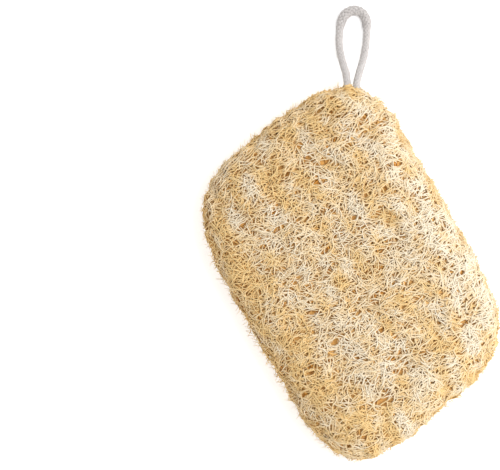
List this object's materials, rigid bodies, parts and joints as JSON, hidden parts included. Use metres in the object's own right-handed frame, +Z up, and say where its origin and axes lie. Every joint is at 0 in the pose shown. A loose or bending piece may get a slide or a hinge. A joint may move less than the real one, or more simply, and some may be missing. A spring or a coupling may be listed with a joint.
{
  "type": "natural loofah sponge",
  "caption": "Flat rounded pad of dried loofah gourd wall with a raised net of plant fibres on every side and a white cotton hanging loop at one corner.",
  "frame": {"origin": "middle of the underside, on the surface that the pad lies on", "axes": "+Z up out of the pad's upper face, +Y along the pad's length towards the end with the hanging loop, +X across it"},
  "size_m": [0.1122, 0.1723, 0.022],
  "materials": {
    "loofah_fibre": "dry, matt, tangled plant fibre, pale straw to golden tan",
    "cotton_cord": "matt white braided cotton cord"
  },
  "bodies": {
    "root": {"loofah_pad": "loofah_fibre", "hanging_loop": "cotton_cord", "loop_knot": "cotton_cord"}
  },
  "joints": []
}
